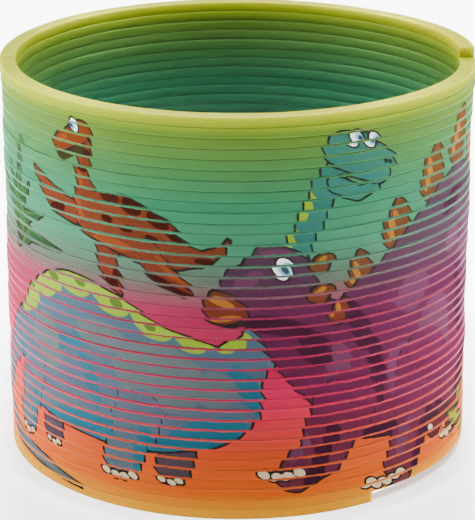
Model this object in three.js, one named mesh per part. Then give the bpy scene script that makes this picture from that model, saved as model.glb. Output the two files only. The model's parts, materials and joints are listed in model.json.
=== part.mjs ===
// Spring coil toy: one long flat strip of translucent plastic wound into a closed coil
// that stands on its flat bottom turn. Millimetres, +Z up, origin on the table at the coil's axis.
//
// The strip is one piece on the real toy, and it moves by twisting a little all along its length.
// Here it is divided into arcs of two thirds of a turn. Each arc is hinged on the one before it
// about the line that touches the rim at their joint, which is the axis the strip twists about.
import * as THREE from 'three';

// Driving dimensions
const OUTER_RADIUS = 37.5;       // outside of the coil
const STRIP_WIDTH = 2.5;         // across the strip, from the bore to the outside
const STRIP_HEIGHT = 1.5;        // thickness of one turn
const PITCH = 1.63;              // from one turn to the next; the rest is the gap between turns
const BOTTOM_END_AZIMUTH = -56;  // degrees anticlockwise from +X, seen from above
const COIL_SWEEP = 13984;        // degrees that the strip turns from its bottom end to its top end
const FLAT_SWEEP = 244;          // degrees of every turn that lie flat
const ARC_SWEEP = 240;           // degrees from one hinge to the next
const ARC_STEP = 10;             // degrees from one facet to the next
const END_GAP = 0.3;             // clearance between the ends of two arcs

const RAMP_SWEEP = 360 - FLAT_SWEEP;
const ARC_COUNT = 1 + Math.floor((COIL_SWEEP - FLAT_SWEEP) / ARC_SWEEP);
const GAP_ANGLE = THREE.MathUtils.radToDeg(END_GAP / (OUTER_RADIUS - STRIP_WIDTH));

// Dye along the strip, from the bottom turn to the top one
const DYES = [0xd99a2e, 0xdf7a30, 0xe0573f, 0xd63a68, 0xc64f84, 0x9a8aa2, 0x62b39b, 0x5fae84, 0x8f9f4a, 0xb4c455];

// Height of the strip's underside where it has turned by `turned` degrees from the bottom end.
// A turn lies flat, then climbs over the end of the turn below it.
function rise(turned) {
  const turn = Math.floor(turned / 360);
  const climb = THREE.MathUtils.smoothstep(turned - turn * 360, FLAT_SWEEP, FLAT_SWEEP + RAMP_SWEEP);
  return PITCH * (turn + climb);
}

function dyeAt(turned) {
  const place = (turned / COIL_SWEEP) * (DYES.length - 1);
  const step = Math.min(Math.floor(place), DYES.length - 2);
  return new THREE.Color(DYES[step]).lerp(new THREE.Color(DYES[step + 1]), place - step);
}

// A straight bar bent round the coil's axis. It starts at azimuth 0 and height 0 and winds clockwise.
function arcGeometry(start, sweep) {
  const steps = Math.ceil(sweep / ARC_STEP);
  const bar = new THREE.BoxGeometry(STRIP_WIDTH, 1, STRIP_HEIGHT, 1, steps, 1);
  const corner = new THREE.Vector3();
  const places = bar.attributes.position;
  for (let i = 0; i < places.count; i++) {
    corner.fromBufferAttribute(places, i);
    const turned = (0.5 - corner.y) * sweep;
    const azimuth = THREE.MathUtils.degToRad(-turned);
    const radius = OUTER_RADIUS - STRIP_WIDTH / 2 + corner.x;
    const height = rise(start + turned) - rise(start) + STRIP_HEIGHT / 2 + corner.z;
    places.setXYZ(i, radius * Math.cos(azimuth), radius * Math.sin(azimuth), height);
  }
  bar.computeVertexNormals();
  return bar;
}

function coilArc(name, start, end) {
  const dye = new THREE.MeshStandardMaterial({ color: dyeAt((start + end) / 2), roughness: 0.3, metalness: 0 });
  const arc = new THREE.Mesh(arcGeometry(start, end - start), dye);
  arc.name = name;
  arc.rotation.z = THREE.MathUtils.degToRad(BOTTOM_END_AZIMUTH - start);
  arc.position.z = rise(start);
  return arc;
}

function arcName(number) {
  if (number === 1) return 'bottom_end_arc';
  if (number === ARC_COUNT) return 'top_end_arc';
  return `coil_arc_${String(number).padStart(2, '0')}`;
}

// The first arc is the flat foot of the coil, and the last one runs on to the strip's top end.
const coil = new THREE.Group();
for (let number = 1; number <= ARC_COUNT; number++) {
  const lower = number === 1 ? 0 : FLAT_SWEEP + ARC_SWEEP * (number - 2) + GAP_ANGLE / 2;
  const upper = number === ARC_COUNT ? COIL_SWEEP : FLAT_SWEEP + ARC_SWEEP * (number - 1) - GAP_ANGLE / 2;
  coil.add(coilArc(arcName(number), lower, upper));
}

export default coil;
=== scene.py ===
# Spring coil toy: one flat strip of dyed translucent plastic, wound into a closed coil of 39 turns
# and printed on the outside with cheerful dinosaurs. The picture was printed across the closed turns,
# and the turns have crept round a little since, so it steps sideways from each turn to the next.
import functools
import json
import math

import bmesh
import bpy
import numpy as np
from mathutils import Matrix, Vector

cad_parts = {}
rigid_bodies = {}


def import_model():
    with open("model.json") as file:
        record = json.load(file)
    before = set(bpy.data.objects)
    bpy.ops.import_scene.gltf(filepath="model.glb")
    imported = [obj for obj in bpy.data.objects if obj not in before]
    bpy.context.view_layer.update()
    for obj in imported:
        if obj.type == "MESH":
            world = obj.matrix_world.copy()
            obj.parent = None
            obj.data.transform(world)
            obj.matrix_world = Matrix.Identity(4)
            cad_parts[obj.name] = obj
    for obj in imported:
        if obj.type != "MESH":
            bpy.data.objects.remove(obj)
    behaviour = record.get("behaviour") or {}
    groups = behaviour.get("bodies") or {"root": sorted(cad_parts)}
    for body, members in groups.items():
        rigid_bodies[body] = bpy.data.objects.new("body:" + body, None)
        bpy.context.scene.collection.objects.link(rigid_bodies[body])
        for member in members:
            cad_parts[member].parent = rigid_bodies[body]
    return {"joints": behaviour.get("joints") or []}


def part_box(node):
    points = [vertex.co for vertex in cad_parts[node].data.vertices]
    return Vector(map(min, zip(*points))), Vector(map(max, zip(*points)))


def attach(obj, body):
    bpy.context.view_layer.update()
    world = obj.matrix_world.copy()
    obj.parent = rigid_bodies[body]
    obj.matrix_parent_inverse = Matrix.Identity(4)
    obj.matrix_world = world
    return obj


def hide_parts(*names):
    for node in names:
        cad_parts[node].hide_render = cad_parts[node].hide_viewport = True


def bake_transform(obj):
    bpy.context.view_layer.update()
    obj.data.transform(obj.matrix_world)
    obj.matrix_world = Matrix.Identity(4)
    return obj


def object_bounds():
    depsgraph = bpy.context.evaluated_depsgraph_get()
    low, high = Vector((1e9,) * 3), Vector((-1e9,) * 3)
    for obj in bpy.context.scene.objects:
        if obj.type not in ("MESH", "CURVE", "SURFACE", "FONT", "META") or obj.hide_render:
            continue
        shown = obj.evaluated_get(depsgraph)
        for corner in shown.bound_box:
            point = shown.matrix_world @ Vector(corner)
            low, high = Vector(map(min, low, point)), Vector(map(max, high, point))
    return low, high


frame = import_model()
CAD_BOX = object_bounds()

MM = 0.001

# ---------------------------------------------------------------- sizes, from the frame
FOOT_LOW, FOOT_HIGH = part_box("bottom_end_arc")
OUTER = (CAD_BOX[1].x - CAD_BOX[0].x) / 2
COIL_TOP = CAD_BOX[1].z
PITCH = (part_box("coil_arc_04")[0].z - FOOT_LOW.z) / 2    # three arcs are two turns
STRIP_HEIGHT = PITCH - 0.03 * MM                         # the turns all but touch
STRIP_WIDTH = 2.5 * MM
CORNER = 0.15 * MM               # rounded edges of the strip
WALL = 37.2 * MM                 # the turns below the top few sit just inside the full radius

# The strip winds clockwise, seen from above. Places along it are degrees turned from its bottom end.
BOTTOM_END_AZIMUTH = -56
COIL_SWEEP = 13984
FLAT_SWEEP = 244                 # of each turn; the rest climbs over the end of the turn below
ARC_SWEEP = 240                  # from one joint to the next
STEP = 0.5 * MM                  # length of one mesh step along the strip
FOOT_SEAM = 100                  # the foot's length ends this many degrees before the first joint
SEAM_AZIMUTHS = {60: -14, 180: 90, 300: 160}   # where a length that starts after each joint meets the next

ARCS = [joint["parent"] for joint in frame["joints"]] + [frame["joints"][-1]["child"]]

# ---------------------------------------------------------------- colours
DYES = (                         # height on the coil in mm, and the dye there
    (0, "#a07008"), (4, "#8c3c0c"), (10, "#822e12"), (15, "#821c24"), (20, "#7e1030"), (27, "#661428"),
    (33.5, "#601830"), (38, "#384038"), (43, "#24523c"), (50, "#1c4e34"), (56, "#2a4c24"), (60.5, "#3a5018"),
    (62.5, "#606e0c"), (64.3, "#868206"),
)


def linear(code):
    """An sRGB hex colour as linear RGBA."""
    parts = [int(code[i:i + 2], 16) / 255 for i in (1, 3, 5)]
    return tuple(p / 12.92 if p <= 0.04045 else ((p + 0.055) / 1.055) ** 2.4 for p in parts) + (1.0,)


# ---------------------------------------------------------------- the picture on the coil
# Places on the picture are (around, up) in mm: around is measured along the outside from the front,
# rightwards, and up from the table. A depth is how far inside a shape a place lies, negative outside.
FAR = -6.0


def close_to(places, low, high):
    """Which places lie in a box or within reach of it."""
    return np.flatnonzero(((places > np.subtract(low, 2)) & (places < np.add(high, 2))).all(1))


def limb(places, *knots):
    """Depth in a row of round-ended tapering lengths; a knot is (around, up, half width)."""
    depth = np.full(len(places), FAR)
    for (u0, v0, r0), (u1, v1, r1) in zip(knots, knots[1:]):
        wide = max(r0, r1)
        near = close_to(places, (min(u0, u1) - wide, min(v0, v1) - wide),
                        (max(u0, u1) + wide, max(v0, v1) + wide))
        spot = places[near] - (u0, v0)
        span = np.array((u1 - u0, v1 - v0))
        along = np.clip(spot @ span / (span @ span), 0, 1)
        gap = np.hypot(*(spot - along[:, None] * span).T)
        depth[near] = np.maximum(depth[near], r0 + along * (r1 - r0) - gap)
    return depth


def oval(places, u, v, half_wide, half_high, tilt=0.0):
    """Depth in an ellipse, near enough at its edge."""
    depth = np.full(len(places), FAR)
    widest = max(half_wide, half_high)
    near = close_to(places, (u - widest, v - widest), (u + widest, v + widest))
    c, s = math.cos(math.radians(tilt)), math.sin(math.radians(tilt))
    right, up = (places[near] - (u, v)).T
    across, upward = (c * right + s * up) / half_wide, (c * up - s * right) / half_high
    reach = np.hypot(across, upward)
    slope = np.hypot(across / half_wide, upward / half_high) / np.maximum(reach, 1e-6)
    depth[near] = (1 - reach) / np.maximum(slope, 1 / widest)
    return depth


def ovals(places, *rows):
    """Depth in the nearest of several ellipses."""
    return np.max([oval(places, *row) for row in rows], axis=0)


def blob(places, *corners):
    """Depth in a closed outline that runs smoothly through its corners."""
    knots = np.array(corners, float)
    before, after, later = (np.roll(knots, shift, 0) for shift in (1, -1, -2))
    t = np.linspace(0, 1, 6, endpoint=False)[:, None, None]
    curve = 0.5 * (2 * knots + (after - before) * t + (2 * before - 5 * knots + 4 * after - later) * t ** 2
                   + (3 * knots - before - 3 * after + later) * t ** 3)
    start = curve.transpose(1, 0, 2).reshape(-1, 2)
    depth = np.full(len(places), FAR)
    near = close_to(places, start.min(0), start.max(0))
    spot = places[near][:, None, :]
    edge = np.roll(start, -1, 0) - start
    along = np.clip(((spot - start) * edge).sum(2) / (edge ** 2).sum(1), 0, 1)
    gap = np.linalg.norm(spot - start - along[..., None] * edge, axis=2).min(1)
    level = (start[:, 1] > spot[..., 1]) != (start[:, 1] + edge[:, 1] > spot[..., 1])
    rise_of = np.where(edge[:, 1] == 0, 1e-9, edge[:, 1])
    left = spot[..., 0] < start[:, 0] + edge[:, 0] * (spot[..., 1] - start[:, 1]) / rise_of
    inside = (level & left).sum(1) % 2 == 1
    depth[near] = np.where(inside, gap, -gap)
    return depth


# Inks in the order they are laid: name, colour, whether it has a black outline.
INKS = (
    ("fern", "#1c3414", True), ("fern_dark", "#122416", False),
    ("rust", "#401006", True), ("rust_dark", "#1a0806", False), ("tan", "#502410", False),
    ("slate", "#0a2028", True), ("blue_grey", "#1a3a44", True), ("teal", "#103a46", False),
    ("turquoise", "#1a423a", True), ("mist", "#343e3e", False),
    ("lime", "#566a0a", False), ("lime_spot", "#283a14", False),
    ("plum", "#180a14", True), ("purple", "#2a1022", True),
    ("violet", "#3c1e30", False), ("deep_purple", "#1c0a14", False), ("sienna", "#3a1a0a", True),
    ("ochre", "#684414", False), ("cream", "#90846a", True), ("white", "#bcc4b8", True),
    ("sky", "#3e7e98", False), ("black", "#100e0c", False),
)


class Picture:
    """Depths in each ink's shapes, one row an ink, at a set of places."""
    def __init__(self, places):
        self.places = places
        self.depths = np.full((len(INKS), len(places)), FAR)

    def ink(self, name):
        return self.depths[[row[0] for row in INKS].index(name)]


def lay(picture, ink, depth):
    """Prints a shape over what is there."""
    near = np.flatnonzero(depth > -1.5)
    picture.depths[:, near] = np.minimum(picture.depths[:, near], -depth[near])
    spread(picture, ink, depth)


def spread(picture, ink, depth):
    """Joins a shape to what is printed in the same ink."""
    layer = picture.ink(ink)
    np.maximum(layer, depth, out=layer)


def shade(picture, ink, depth, within):
    """Prints a shape on another one, and no further."""
    spread(picture, ink, np.minimum(depth, within))


def eye(picture, u, v, size, look):
    """A round white eye with a blue iris, looking along `look`."""
    at = picture.places
    ball = oval(at, u, v, size, 1.25 * size)
    lay(picture, "white", ball)
    shade(picture, "sky", oval(at, u + 0.35 * look * size, v - 0.1 * size, 0.62 * size, 0.8 * size), ball)
    shade(picture, "black", oval(at, u + 0.45 * look * size, v - 0.1 * size, 0.36 * size, 0.5 * size), ball)


def toes(picture, u, v, count, size):
    """A row of round toes, a little lower in the middle."""
    for n in range(count):
        arch = 0.5 * size * math.sin(math.pi * n / max(count - 1, 1))
        lay(picture, "cream", oval(picture.places, u + 1.75 * size * n, v - arch, size, 0.85 * size))


def ferns(picture):
    """A tuft of fronds and a jointed stalk at the left."""
    at = picture.places
    for lean, height in ((-5.5, 11), (-2.6, 13.5), (0.6, 15), (3.4, 12), (6.4, 8.5), (9.2, 4.5)):
        root = (-42.5, 37)
        tip = (root[0] + 1.35 * lean, root[1] + height - 0.25 * abs(lean))
        middle = (root[0] + 0.45 * lean, root[1] + 0.62 * height)
        frond = limb(at, (*root, 0.5), (*middle, 1.15), (*tip, 0.2))
        lay(picture, "fern", frond)
        rib = limb(at, (root[0] + 0.4, root[1], 0.2), (middle[0] + 0.5, middle[1], 0.5), (*tip, 0.1))
        shade(picture, "fern_dark", rib, frond)
    for n in range(5):
        joint = oval(at, -41.2 + 0.5 * math.sin(2.2 * n), 43.5 + 2.6 * n, 0.95 - 0.09 * n, 1.35, -12)
        lay(picture, "fern", joint)


def swimmer(picture):
    """A rust-coloured long-necked dinosaur with flippers, paddling above the others."""
    at = picture.places
    far = np.maximum(limb(at, (-26.5, 46.2, 1.9), (-31, 47.4, 2.0), (-35.8, 51.2, 0.5)),
                     limb(at, (-20.5, 43, 2.0), (-20.6, 38.8, 1.7), (-18, 35.2, 0.5)))
    lay(picture, "rust", far)
    shade(picture, "rust_dark", ovals(at, (-31, 45.9, 2.6, 1.0, 30), (-19.4, 37, 1.0, 2.2, -20)), far)
    body = limb(at, (-24.2, 58.2, 1.35), (-24.6, 55.5, 1.2), (-24.5, 52, 1.3), (-24, 48.6, 2.4),
                (-22.5, 46.6, 3.8), (-18, 46, 4.6), (-13, 44, 4.2), (-8.8, 42.2, 2.4), (-5.4, 41.7, 1.3),
                (-2.6, 43, 0.8), (-1.0, 44.9, 0.25))
    lay(picture, "rust", body)
    shade(picture, "rust_dark", ovals(
        at, (-19.6, 50, 1.6, 1.3, 10), (-15.9, 49, 1.8, 1.4, -10), (-12, 47.2, 1.8, 1.2, -25),
        (-9, 45, 1.5, 1.0, -30), (-20.6, 46.4, 1.0, 0.6), (-16.8, 45.4, 1.2, 0.6, -10),
        (-12.8, 44.2, 1.2, 0.6, -20), (-24.1, 53.4, 1.0, 0.5), (-24.3, 56, 0.9, 0.5),
        (-5, 41.4, 1.6, 0.5)), body)
    shade(picture, "tan", ovals(
        at, (-25.9, 47.4, 0.8, 2.6, 10), (-19.5, 42.7, 3.4, 0.9, -8), (-13.2, 40.9, 2.6, 0.7, -18),
        (-25.1, 51.6, 0.4, 1.6)), body)
    fin = limb(at, (-13.6, 42.4, 1.8), (-12.2, 39.6, 2.0), (-7.4, 36.4, 0.8))
    lay(picture, "rust", fin)
    shade(picture, "tan", limb(at, (-12.0, 41.4, 0.5), (-10.4, 39.2, 0.6), (-7.6, 37.2, 0.2)), fin)
    shade(picture, "rust_dark", limb(at, (-13.6, 38.4, 0.9), (-10.6, 36.8, 1.0), (-7, 35.8, 0.4)), fin)
    jaw = limb(at, (-25.6, 56.6, 1.2), (-29.2, 54.9, 1.0))
    lay(picture, "rust_dark", jaw)
    head = limb(at, (-24.7, 59.2, 1.75), (-27.4, 57.8, 1.6), (-29.9, 56.4, 1.25))
    lay(picture, "rust", head)
    shade(picture, "tan", oval(at, -28.8, 57.4, 1.5, 0.5, 28), head)
    eye(picture, -26.3, 59.9, 0.95, -1)


def grazer(picture):
    """A big blue-grey plant eater with a spotted lime back, a long neck and a friendly head."""
    at = picture.places
    tail = limb(at, (-41, 24, 3.2), (-48, 17, 2.2), (-52.5, 9, 1.6), (-46, 4.2, 1.3), (-36, 2.9, 1.0),
                (-26, 1.3, 0.25))
    lay(picture, "blue_grey", tail)
    for knots in (((-31, 16, 3.0), (-32.2, 11, 2.4), (-32.6, 9.2, 2.4)),
                  ((-7, 16, 3.2), (-8.6, 11, 2.7), (-9.9, 8.0, 2.8))):
        lay(picture, "slate", limb(at, *knots))
    toes(picture, -34, 7.4, 3, 0.7)
    toes(picture, -11.6, 5.9, 3, 0.8)
    body = np.maximum(
        blob(at, (-43, 20), (-41, 28), (-35.5, 34), (-28, 36.6), (-19, 34.8), (-11, 30.6), (-3.6, 28.2),
             (2.4, 24), (3.4, 17), (-2, 12.4), (-13, 10.2), (-26, 10.8), (-38, 13)),
        limb(at, (-4, 21, 6), (3, 27.4, 3.6), (5.4, 32.6, 2.7), (7.4, 38.4, 2.1), (9.4, 44.4, 2.0),
             (12.2, 50, 2.0), (14.6, 54, 2.5)))
    lay(picture, "blue_grey", body)
    shade(picture, "turquoise", blob(at, (3, 36), (11, 34), (22, 50), (22, 60), (8, 58), (2, 44)), body)
    shade(picture, "teal", ovals(
        at, (-22, 10.8, 15, 3.4, -2), (-41, 17, 3, 5), (-5, 13.6, 7, 2.6, 18), (-24, 20, 1.2, 5, 20),
        (-29, 25, 5, 1.2, 20), (1.8, 21, 1.6, 5, 30)), body)
    shade(picture, "mist", ovals(
        at, (-12, 22.5, 7.5, 5.5, -12), (-34, 24, 3.6, 4.6, 10), (-22, 27.6, 4.6, 2.4, -8),
        (-3, 21, 3, 3)), body)
    band = ovals(
        at, (-39.4, 30, 4, 3, 40), (-33.4, 34.4, 4, 3.2, 20), (-26.6, 36, 4, 3, -4),
        (-19.4, 34.2, 3.8, 2.8, -20), (-12.6, 31, 3.6, 2.5, -20), (-6.4, 28.8, 2.8, 1.9, -16),
        (-0.6, 28.9, 2.4, 1.7, 30),
        (2.6, 33.5, 1.3, 2.5, -14), (5.1, 39, 1.3, 2.4, -14), (7.2, 44.4, 1.3, 2.4, -14),
        (9.8, 49.6, 1.4, 2.6, -22))
    shade(picture, "lime", band, body)
    shade(picture, "lime_spot", np.minimum(band, ovals(
        at, (-37.5, 32, 0.9, 0.7), (-31.6, 35, 1.2, 0.8), (-25.4, 35.4, 1.1, 0.7), (-19, 33.4, 1.1, 0.8),
        (-13.4, 30.4, 0.9, 0.6), (4.9, 39.4, 0.5, 0.6), (7, 45, 0.5, 0.7))), body)
    for knots in (((-38.2, 19, 3.6), (-39.8, 12, 3.0), (-40.6, 9, 2.9)),
                  ((-15.6, 16, 4.2), (-17, 11, 3.3), (-18.4, 8.0, 3.3))):
        leg = limb(at, *knots)
        lay(picture, "blue_grey", leg)
        (top_u, top_v, _), _, (u, v, wide) = knots
        shade(picture, "teal", limb(at, (u + wide, v - 2, 1.5), (u + wide + 0.6, v + 5, 1.2)), leg)
        spread(picture, "blue_grey", oval(at, top_u, top_v + 1.5, 3.4, 3.2))
    toes(picture, -42.6, 6.6, 3, 0.85)
    toes(picture, -21.2, 5.7, 4, 0.9)
    lay(picture, "turquoise", limb(at, (15.2, 52.4, 1.5), (18.6, 50.6, 1.2), (21.4, 51.2, 0.9)))
    head = limb(at, (15.6, 57.8, 2.9), (18.4, 56.8, 3.4), (22.4, 54.2, 2.7))
    lay(picture, "turquoise", head)
    shade(picture, "teal", ovals(at, (20, 52.8, 3.6, 1.0, -20), (14, 56, 1.0, 2.2)), head)
    shade(picture, "black", ovals(at, (23.4, 54.9, 0.42, 0.5), (24.2, 54.6, 0.36, 0.45)), head)
    eye(picture, 17.8, 59.2, 1.15, 1)
    eye(picture, 20.6, 58.6, 1.05, 1)


def plate(picture, u, v, size, lean):
    """A back plate: a pointed leaf with a lit left half."""
    at = picture.places
    c, s = math.cos(math.radians(lean)), math.sin(math.radians(lean))
    corners = [(u + size * (x * c + y * s), v + size * (y * c - x * s))
               for x, y in ((0, -1), (-0.62, -0.5), (-0.55, 0.45), (0, 1.1), (0.5, 0.5), (0.66, -0.4))]
    leaf = blob(at, *corners)
    lay(picture, "sienna", leaf)
    lit = oval(at, u - 0.26 * size * c, v + 0.26 * size * s, 0.15 * size, 0.6 * size, -lean)
    shade(picture, "ochre", lit, leaf)


def plated(picture):
    """A heavy purple dinosaur with plates along its back, looking left."""
    at = picture.places
    for u, v, size, lean in ((19, 38.2, 3.4, 0), (26, 44.2, 4.2, 8),
                             (34.4, 50.4, 4.6, 14), (43, 54, 4.9, 16), (51.4, 51.6, 4.6, 32),
                             (58.2, 44.4, 4.0, 50), (62.6, 35, 3.2, 62), (66.4, 26.4, 2.6, 66)):
        plate(picture, u, v, size, lean)
    for knots in (((40, 16, 4.4), (38.6, 10.5, 2.8), (36.6, 8.4, 2.0)),
                  ((48, 17, 4.4), (45.5, 10, 2.9), (43.2, 6.8, 2.6))):
        lay(picture, "plum", limb(at, *knots))
    toes(picture, 33.8, 8.6, 2, 0.9)
    toes(picture, 39.6, 6.0, 3, 1.0)
    body = np.max([
        blob(at, (11, 19), (10.6, 28), (15.6, 34.4), (22, 39), (30, 44.6), (38, 49), (46, 49.6), (53, 45),
             (57.6, 37), (59, 27), (55, 18), (47, 12.4), (36, 10), (24, 10.6), (15, 13)),
        limb(at, (56, 28, 6), (62, 21, 3.6), (67, 13, 2.0), (72, 7, 0.4)),
        limb(at, (5, 37.4, 6.6), (1.6, 36.4, 4.9), (-1, 34.6, 3.4)),
        limb(at, (6.5, 34, 5.4), (14, 26, 7.5))], axis=0)
    lay(picture, "purple", body)
    shade(picture, "deep_purple", ovals(
        at, (27, 10.8, 12, 2.6, 4), (50, 15, 7, 3, 40), (19, 30, 1.6, 5, 24), (22.6, 22, 1.4, 6, 6),
        (41, 45, 4, 1.6, 24), (64, 16, 1.4, 5, -36), (45, 27, 1.3, 7, 12)), body)
    shade(picture, "violet", ovals(
        at, (28, 20.5, 3.6, 4.6, 10), (36.5, 25, 4.6, 6, 20), (30, 33, 4, 3, 30), (49, 36, 4, 6, 20),
        (41, 38.4, 2.6, 2.2), (52, 24, 3, 4.4, 30), (16, 24, 2.0, 3.6)), body)
    for knots, shin in ((((33, 19, 7.0), (30.6, 10.4, 4.3), (27.8, 4.9, 3.6)), 3.4),
                        (((17, 17, 5.6), (13, 10, 4.1), (8.8, 6.9, 2.9)), 2.6)):
        leg = limb(at, *knots)
        lay(picture, "purple", leg)
        (top_u, top_v, _), _, (u, v, wide) = knots
        shade(picture, "deep_purple", limb(at, (u + wide - 0.4, v - 1.8, 1.2),
                                           (u + wide + 3.2, v + 6.5, 1.3)), leg)
        shade(picture, "violet", oval(at, u + 0.6, v + 4.4, 1.2, shin, -24), leg)
        spread(picture, "purple", oval(at, top_u + 1.4, top_v + 2.2, 4.8, 4.6))
    toes(picture, 21.2, 3.4, 4, 1.15)
    toes(picture, 4.0, 7.3, 4, 1.05)
    plate(picture, 12.6, 40.6, 2.1, 62)
    plate(picture, 12.8, 35.8, 2.2, 66)
    plate(picture, 15.8, 32.6, 2.3, 24)
    shade(picture, "deep_purple", ovals(at, (6, 31.2, 5.4, 1.5, -12), (12, 27, 2.2, 3.4, 40)), body)
    shade(picture, "violet", ovals(at, (1.2, 38.6, 2.6, 1.0, 28), (5.4, 42.6, 2.4, 0.7, 0)), body)
    beak = blob(at, (-4.8, 35.4), (-3.4, 37.0), (-0.6, 36.2), (1.6, 34.0), (0.6, 32.0), (-2.6, 31.6),
                (-4.8, 33.0))
    lay(picture, "sienna", beak)
    shade(picture, "ochre", ovals(at, (-2.2, 35.2, 1.9, 0.7, -24), (-1.6, 32.6, 2.0, 0.5, 6)), beak)
    eye(picture, 6.6, 40.2, 1.5, 0.6)


def leaves(picture):
    """Low leaves at the right."""
    at = picture.places
    for u, v, wide, high, tilt in ((45.4, 6.8, 4.4, 1.5, -24), (51, 3.8, 3.4, 1.2, 14),
                                   (48.4, 10, 2.6, 1.1, 30)):
        leaf = oval(at, u, v, wide, high, tilt)
        lay(picture, "fern", leaf)
        shade(picture, "lime", oval(at, u - 0.6, v + 0.35, 0.7 * wide, 0.35 * high, tilt), leaf)


class Print:
    """The whole print, drawn once on a fine grid: the same dinosaurs on the coil's front and on its back."""
    def __init__(self, grain=0.2):
        self.grain = grain
        self.round = math.pi * WALL / MM
        self.wide, self.high = round(self.round / grain), round(COIL_TOP / MM / grain) + 2
        self.left = -self.round / 2 - 6
        around, up = np.meshgrid(self.left + np.arange(self.wide) * self.round / self.wide,
                                 np.arange(self.high) * grain, indexing="ij")
        picture = Picture(np.stack([around.ravel(), up.ravel()], axis=1))
        for animal in (ferns, swimmer, grazer, plated, leaves):
            animal(picture)
        self.depths = picture.depths.reshape(len(INKS), self.wide, self.high)

    def at(self, around, up):
        """Depths at places on the coil, read between the grid's points."""
        column = (around - self.left) % self.round * self.wide / self.round
        row = np.clip(up / self.grain, 0, self.high - 1.001)
        left, below = column.astype(int) % self.wide, row.astype(int)
        right, across, upward = (left + 1) % self.wide, column % 1, row % 1
        low = self.depths[:, left, below] * (1 - across) + self.depths[:, right, below] * across
        high = self.depths[:, left, below + 1] * (1 - across) + self.depths[:, right, below + 1] * across
        return low * (1 - upward) + high * upward


# ---------------------------------------------------------------- the strip
def climb(turned):
    """Height of the strip's underside where it has turned this many degrees from its bottom end."""
    turn = np.floor(turned / 360)
    share = np.clip((turned - 360 * turn - FLAT_SWEEP) / (360 - FLAT_SWEEP), 0, 1)
    return PITCH * (turn + share ** 2 * (3 - 2 * share))


def settle(turned):
    """How the turns sit off the true coil, in metres: sideways along X and Y, and the top ones outwards."""
    turn = turned / 360
    side_x = (0.10 * np.sin(0.53 * turn + 1.0) + 0.06 * np.sin(1.9 * turn)
              - 0.30 * np.exp(-((turn - 14) / 1.6) ** 2))
    side_y = 0.08 * np.sin(0.41 * turn + 2.0) + 0.05 * np.sin(2.3 * turn + 0.7)
    fades = np.clip((turn - 0.5) / 2, 0, 1) * np.clip((COIL_SWEEP / 360 - turn) / 2, 0, 1)
    flare = (OUTER - WALL) * np.clip((turn - 33) / 4.5, 0, 1) ** 2
    return side_x * fades * MM, side_y * fades * MM, flare


def strip_section(bm):
    """The strip's cut end: a flat oblong with rounded corners and a few points along its faces."""
    outer, inner = WALL, WALL - STRIP_WIDTH
    corners = [bm.verts.new((x, 0, z)) for x, z in
               ((inner, 0), (outer, 0), (outer, STRIP_HEIGHT), (inner, STRIP_HEIGHT))]
    bm.faces.new(corners)
    bmesh.ops.bevel(bm, geom=corners, offset=CORNER, affect="VERTICES", segments=3, profile=0.5, material=-1)
    flats = [edge for edge in bm.edges if edge.calc_length() > 2 * CORNER]
    printed = [edge for edge in flats if all(vert.co.x > WALL - 0.01 * MM for vert in edge.verts)]
    bmesh.ops.subdivide_edges(bm, edges=[edge for edge in flats if edge not in printed], cuts=1)
    bmesh.ops.subdivide_edges(bm, edges=printed, cuts=3)
    return bm.verts[:] + bm.edges[:] + bm.faces[:]


@functools.cache
def round_strip(steps, sweep):
    """A level length of strip round the axis, its ends closed."""
    bm = bmesh.new()
    bmesh.ops.spin(bm, geom=strip_section(bm), cent=(0, 0, 0), axis=(0, 0, 1),
                   angle=-math.radians(sweep), steps=steps)
    bmesh.ops.recalc_face_normals(bm, faces=bm.faces)
    mesh = bpy.data.meshes.new("strip")
    bm.to_mesh(mesh)
    bm.free()
    return mesh


def strip_length(name, start, end):
    """One length of the strip between two places along it, with the picture's depths at its vertices."""
    sweep = end - start
    steps = math.ceil(math.radians(sweep) * WALL / STEP)
    mesh = round_strip(steps, sweep).copy()
    mesh.name = name

    co = np.empty(3 * len(mesh.vertices))
    mesh.vertices.foreach_get("co", co)
    x, y, lift = co.reshape(-1, 3).T
    half_step = sweep / steps / 2
    turned = start + (-np.degrees(np.arctan2(y, x)) + half_step) % 360 - half_step
    radius = np.hypot(x, y)
    azimuth = np.radians(BOTTOM_END_AZIMUTH - turned)
    side_x, side_y, flare = settle(turned)
    height = climb(turned) + lift
    placed = np.stack([(radius + flare) * np.cos(azimuth) + side_x,
                       (radius + flare) * np.sin(azimuth) + side_y, height], axis=1)
    mesh.vertices.foreach_set("co", placed.ravel())
    print_on(mesh, turned, height, lift, radius > WALL - 0.6 * CORNER)
    mesh.shade_smooth()
    mesh.set_sharp_from_angle(angle=math.radians(60))
    mesh.update()
    piece = bpy.data.objects.new(name, mesh)
    bpy.context.scene.collection.objects.link(piece)
    piece.data.materials.append(PRINTED_PLASTIC)
    return piece


def print_on(mesh, turned, height, lift, outside):
    """Stores where each vertex lies on the strip and how deep it lies in each ink's shapes."""
    around = np.radians(BOTTOM_END_AZIMUTH + 90 - turned) * WALL / MM
    level = (lift - STRIP_HEIGHT / 2) / MM
    turn = np.round((height - level * MM) / PITCH)
    creep = CREEP * level / (PITCH / MM) + 0.2 * np.sin(2.4 * turn) + 0.15 * np.sin(5.1 * turn + 1)
    depths = PRINT.at((around + creep)[outside], (height / MM)[outside])
    length = np.radians(turned) * WALL / MM
    sheet = mesh.attributes.new("sheet", "FLOAT_VECTOR", "POINT")
    places = np.stack([length, height / MM, level], axis=1).astype(np.float32)
    sheet.data.foreach_set("vector", places.ravel())
    for (name, _, _), inside in zip(INKS, depths):
        depth = np.full(len(turned), FAR, np.float32)
        depth[outside] = inside
        mesh.attributes.new(name, "FLOAT", "POINT").data.foreach_set("value", depth)


CREEP = 0.85                     # mm that each turn's print has moved round past the turn below
PRINT = Print()


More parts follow.
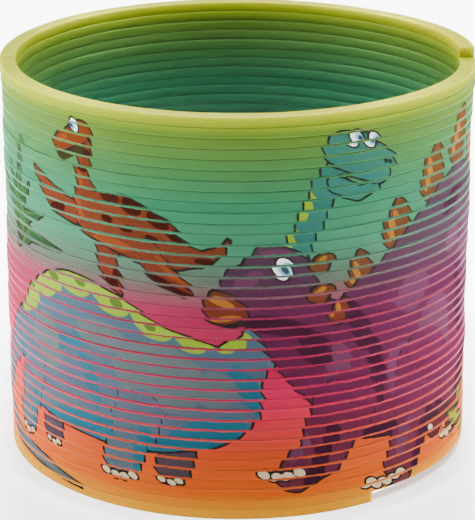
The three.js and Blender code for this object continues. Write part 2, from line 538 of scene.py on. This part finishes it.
# ---------------------------------------------------------------- materials
# Sizes of the print on the strip, in mm
DYE_WANDER = 0.8                 # the dye runs this much higher or lower than its true height
INK_REACH = 0.64                 # the ink covers the strip's face this far up and down from its middle
INK_DROP = 0.05                  # and sits a little low on it
INK_WANDER = 0.25                # unevenness of the ink's upper and lower edges
INK_COVER = (0.86, 0.97)         # share of the dye that the ink hides
INK_SOFT = 0.07                  # softness of a shape's edge
LINE_SOFT = 0.05
LINE_WIDTH = (0.12, 0.22)        # half the width of the black outline
OUTLINE_BLACK = "#14110f"


def new_material(name):
    """A material, its node tree and its shader."""
    material = bpy.data.materials.new(name)
    material.use_nodes = True
    shader = material.node_tree.nodes["Principled BSDF"]
    return material, material.node_tree, shader


def add(tree, kind, links=None, **settings):
    """Adds a node. Settings are its properties, or its inputs by name or number as i3; links maps its inputs
    to the outputs that feed them."""
    node = tree.nodes.new(kind)
    for key, value in settings.items():
        if hasattr(node, key):
            setattr(node, key, value)
        else:
            node.inputs[int(key[1:]) if key[0] == "i" and key[1:].isdigit() else key].default_value = value
    for key, output in (links or {}).items():
        tree.links.new(output, node.inputs[key])
    return node


def edge_of(tree, value, soft, limit=0.0):
    """1 where value is above limit, 0 below, with a soft edge."""
    node = add(tree, "ShaderNodeMapRange", {0: value}, interpolation_type="SMOOTHSTEP",
               i1=limit - soft, i2=limit + soft)
    return node.outputs[0]


def between(tree, value, low, high, to_low, to_high):
    """Value carried over from one range to another."""
    return add(tree, "ShaderNodeMapRange", {0: value}, i1=low, i2=high, i3=to_low, i4=to_high).outputs[0]


def about_zero(tree, noise, reach):
    """A noise from 0 to 1 as one from -reach to +reach."""
    node = add(tree, "ShaderNodeMath", {0: noise}, operation="MULTIPLY_ADD", i1=2 * reach, i2=-reach)
    return node.outputs[0]


def times(tree, a, b):
    """Two values multiplied."""
    return add(tree, "ShaderNodeMath", {0: a, 1: b}, operation="MULTIPLY").outputs[0]


def laid_over(tree, below, colour, share):
    """The colour below with a flat ink colour over it."""
    node = add(tree, "ShaderNodeMix", {0: share, 6: below}, data_type="RGBA", i7=linear(colour))
    return node.outputs[2]


def printed_plastic():
    """Clear flexible polypropylene strip, dyed through, extruded and wound: it glows softly where light comes
    through it, and has faint drawn lines along its length. The print is a thin screened ink."""
    material, tree, shader = new_material("dyed polypropylene, screen printed")
    sheet = add(tree, "ShaderNodeAttribute", attribute_name="sheet").outputs["Vector"]
    parts = add(tree, "ShaderNodeSeparateXYZ", {0: sheet}).outputs
    length, height, level = parts[0], parts[1], parts[2]

    # the dye runs from colour to colour up the coil, a little unevenly
    drift = add(tree, "ShaderNodeTexNoise", {"Vector": add(
        tree, "ShaderNodeMapping", {0: sheet}, i3=(0.012, 0.55, 0.0)).outputs[0]}, Scale=1.0, Detail=2.0)
    uneven = about_zero(tree, drift.outputs["Fac"], DYE_WANDER)
    dyed_at = add(tree, "ShaderNodeMath", {0: height, 1: uneven}, operation="ADD")
    share = add(tree, "ShaderNodeMath", {0: dyed_at.outputs[0]}, operation="DIVIDE", i1=DYES[-1][0])
    dye = add(tree, "ShaderNodeValToRGB", {0: share.outputs[0]})
    ramp = dye.color_ramp
    for place, (up, code) in enumerate(DYES):
        stop = ramp.elements[place] if place < 2 else ramp.elements.new(up / DYES[-1][0])
        stop.position = up / DYES[-1][0]
        stop.color = linear(code)
    colour = dye.outputs[0]

    # screened ink: patchy cover with fine grain, and no ink on the turn's rounded edges
    grain = add(tree, "ShaderNodeTexNoise", {"Vector": sheet}, Scale=3.2, Detail=3.0, Roughness=0.7)
    wobble = add(tree, "ShaderNodeTexNoise", {"Vector": sheet}, Scale=0.9, Detail=4.0, Roughness=0.6)
    wander = about_zero(tree, wobble.outputs["Fac"], INK_WANDER)
    off_level = add(tree, "ShaderNodeMath", {0: level}, operation="ADD", i1=INK_DROP)
    off_centre = add(tree, "ShaderNodeMath", {0: off_level.outputs[0]}, operation="ABSOLUTE")
    reach = add(tree, "ShaderNodeMath", {0: wander, 1: off_centre.outputs[0]}, operation="SUBTRACT")
    on_face = edge_of(tree, reach.outputs[0], LINE_SOFT, -INK_REACH)
    cover = times(tree, between(tree, grain.outputs["Fac"], 0.25, 0.75, *INK_COVER), on_face)

    nearest = None
    for name, code, outlined in INKS:
        depth = add(tree, "ShaderNodeAttribute", attribute_name=name).outputs["Fac"]
        inked = times(tree, edge_of(tree, depth, INK_SOFT), cover)
        colour = laid_over(tree, colour, code, inked)
        if outlined:
            gap = add(tree, "ShaderNodeMath", {0: depth}, operation="ABSOLUTE").outputs[0]
            nearest = gap if nearest is None else add(
                tree, "ShaderNodeMath", {0: nearest, 1: gap}, operation="MINIMUM").outputs[0]
    width = between(tree, wobble.outputs["Fac"], 0.3, 0.7, *LINE_WIDTH)
    inside_line = add(tree, "ShaderNodeMath", {0: width, 1: nearest}, operation="SUBTRACT").outputs[0]
    line = times(tree, edge_of(tree, inside_line, LINE_SOFT), on_face)
    colour = laid_over(tree, colour, OUTLINE_BLACK, line)
    tree.links.new(colour, shader.inputs["Base Color"])

    # gloss: only where the turns rub each other's edges, with drawn lines along the strip
    drawn = add(tree, "ShaderNodeTexNoise", {"Vector": add(
        tree, "ShaderNodeMapping", {0: sheet}, i3=(0.05, 1.0, 4.0)).outputs[0]}, Scale=3.0, Detail=3.0)
    dull = between(tree, drawn.outputs["Fac"], 0.3, 0.7, 0.26, 0.4)
    tree.links.new(dull, shader.inputs["Roughness"])
    bump = add(tree, "ShaderNodeBump", {"Height": drawn.outputs["Fac"]}, Strength=0.25, Distance=0.05 * MM)
    tree.links.new(bump.outputs[0], shader.inputs["Normal"])
    shader.inputs["IOR"].default_value = 1.49
    rubbed = between(tree, off_centre.outputs[0], 0.55, 0.70, 0.0, 0.04)
    tree.links.new(rubbed, shader.inputs["Specular IOR Level"])
    shader.inputs["Subsurface Weight"].default_value = 0.75
    shader.inputs["Subsurface Radius"].default_value = (1.0, 1.0, 0.8)
    shader.inputs["Subsurface Scale"].default_value = 3 * MM
    return material


def pale_floor():
    """A sweep of matt white paper, rough enough to show no gloss."""
    material, _, shader = new_material("matt white paper")
    shader.inputs["Base Color"].default_value = linear("#fafafa")
    shader.inputs["Roughness"].default_value = 0.9
    return material


PRINTED_PLASTIC = printed_plastic()


# ---------------------------------------------------------------- building the coil
def joint_turned(number):
    """Where joint `number`, counted from 1, lies along the strip."""
    return FLAT_SWEEP + ARC_SWEEP * (number - 1)


def seam_turned(number):
    """Where the pieces about joint `number` and the next one meet."""
    joint = joint_turned(number)
    azimuth = (BOTTOM_END_AZIMUTH - joint) % 360         # 60, 180 or 300
    return joint + (azimuth - SEAM_AZIMUTHS[round(azimuth)]) % 360


def build_coil():
    """The first and last lengths ride on their arcs; each one between spans a joint and is left where it is
    built.
    """
    count = len(ARCS) - 1
    first_seam = joint_turned(1) - FOOT_SEAM
    seams = [first_seam] + [seam_turned(n) for n in range(1, count + 1)]
    foot = strip_length("coil_foot", 0, first_seam)
    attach(foot, ARCS[0])
    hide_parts(ARCS[0])
    for number in range(1, count + 1):
        piece = strip_length(f"coil_turn_{number:02d}", seams[number - 1], seams[number])
        before, after = ARCS[number - 1], ARCS[number]
        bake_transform(piece)
        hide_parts(after)
    tip = strip_length("coil_tip", seams[-1], COIL_SWEEP)
    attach(tip, ARCS[-1])


# ---------------------------------------------------------------- floor, light and camera
def build_floor():
    bm = bmesh.new()
    bmesh.ops.create_grid(bm, x_segments=1, y_segments=1, size=3)
    mesh = bpy.data.meshes.new("floor")
    bm.to_mesh(mesh)
    bm.free()
    floor = bpy.data.objects.new("floor", mesh)
    floor.data.materials.append(pale_floor())
    bpy.context.scene.collection.objects.link(floor)


def aimed(place, target):
    """A transform at place whose -Z looks at target."""
    look = Vector(target) - Vector(place)
    return Matrix.Translation(place) @ look.to_track_quat("-Z", "Y").to_matrix().to_4x4()


def hang_lamp(name, shape, size, watts, transform):
    lamp = bpy.data.lights.new(name, "AREA")
    lamp.shape, lamp.size, lamp.energy = shape, size, watts
    light = bpy.data.objects.new(name, lamp)
    light.matrix_world = transform
    bpy.context.scene.collection.objects.link(light)
    return lamp


def soft_light(name, place, size, watts):
    """A round softbox that faces the coil."""
    hang_lamp(name, "DISK", size, watts, aimed(place, (0, 0, COIL_TOP / 2)))


def narrow_light(name, low, high, watts):
    """A lamp hung over the floor between two corners, with a grid that keeps its light straight down."""
    middle = ((low[0] + high[0]) / 2, (low[1] + high[1]) / 2, 0.30)
    lamp = hang_lamp(name, "RECTANGLE", high[0] - low[0], watts, Matrix.Translation(middle))
    lamp.size_y = high[1] - low[1]
    lamp.spread = math.radians(7)


def build_lights():
    world = bpy.data.worlds.new("dim room")
    world.use_nodes = True
    world.node_tree.nodes["Background"].inputs[0].default_value = (1, 1, 1, 1)
    world.node_tree.nodes["Background"].inputs[1].default_value = 0.24
    bpy.context.scene.world = world
    soft_light("left softbox", (-0.50, -0.04, 0.22), 0.36, 7.5)
    soft_light("right softbox", (0.50, -0.02, 0.22), 0.36, 6.5)
    soft_light("top softbox", (0, -0.20, 0.58), 0.4, 9.0)
    soft_light("back softbox", (0, 0.42, 0.50), 0.4, 8.0)
    narrow_light("backdrop behind", (-0.50, 0.075), (0.50, 0.70), 10.0)
    narrow_light("backdrop left", (-0.50, -0.25), (-0.048, 0.075), 7.0)
    narrow_light("backdrop right", (0.048, -0.25), (0.50, 0.075), 7.0)
    narrow_light("light into the coil", (-0.022, -0.022), (0.022, 0.022), 0.3)


def build_camera():
    elevation, distance = math.radians(19.3), 390 * MM
    target = Vector((0, 0, 28.8 * MM))
    place = target + distance * Vector((0, -math.cos(elevation), math.sin(elevation)))
    data = bpy.data.cameras.new("camera")
    data.sensor_fit, data.sensor_width, data.lens = "HORIZONTAL", 36, 181.5
    data.clip_start, data.clip_end = 0.01, 20
    camera = bpy.data.objects.new("camera", data)
    camera.matrix_world = aimed(place, target)
    bpy.context.scene.collection.objects.link(camera)
    bpy.context.scene.camera = camera


build_coil()
build_floor()
build_lights()
build_camera()
